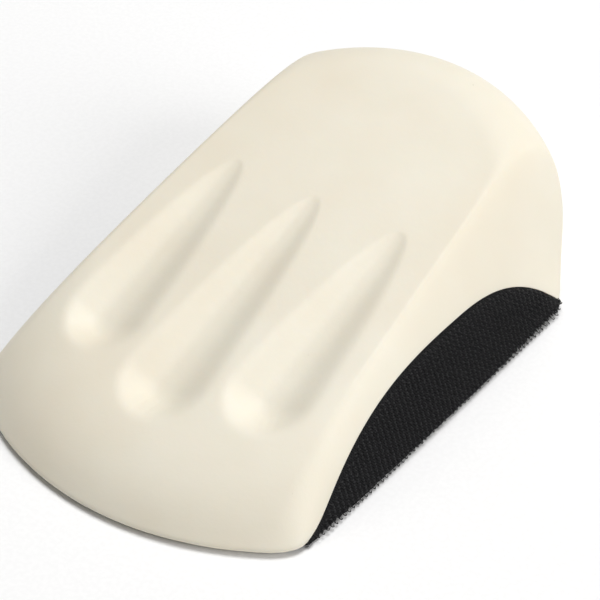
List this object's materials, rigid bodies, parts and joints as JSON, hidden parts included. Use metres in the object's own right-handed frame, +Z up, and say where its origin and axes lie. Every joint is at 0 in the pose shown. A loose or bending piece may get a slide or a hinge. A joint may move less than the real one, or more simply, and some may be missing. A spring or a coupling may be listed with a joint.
{
  "type": "sanding block",
  "caption": "Moulded hand sanding block with finger grooves, a sloping mouse-shaped grip and a hook facing folded up both sides for round hook-and-loop discs.",
  "frame": {"origin": "centre of the round nose's base arc, which is also where a 150 mm sanding disc has its centre, on the plane that the hook tips touch", "axes": "+Z up, +Y from the low nose towards the high heel, +X across the block"},
  "size_m": [0.0966, 0.1452, 0.0433],
  "materials": {
    "grip": "cream integral-skin polyurethane foam, smooth and faintly satin",
    "film": "thin translucent bonding film",
    "backing": "black woven ground",
    "hooks": "black polyamide hooks in rows"
  },
  "bodies": {
    "root": {"grip_body": "grip", "bond_film": "film", "hook_backing": "backing", "hook_pile": "hooks"}
  },
  "joints": []
}
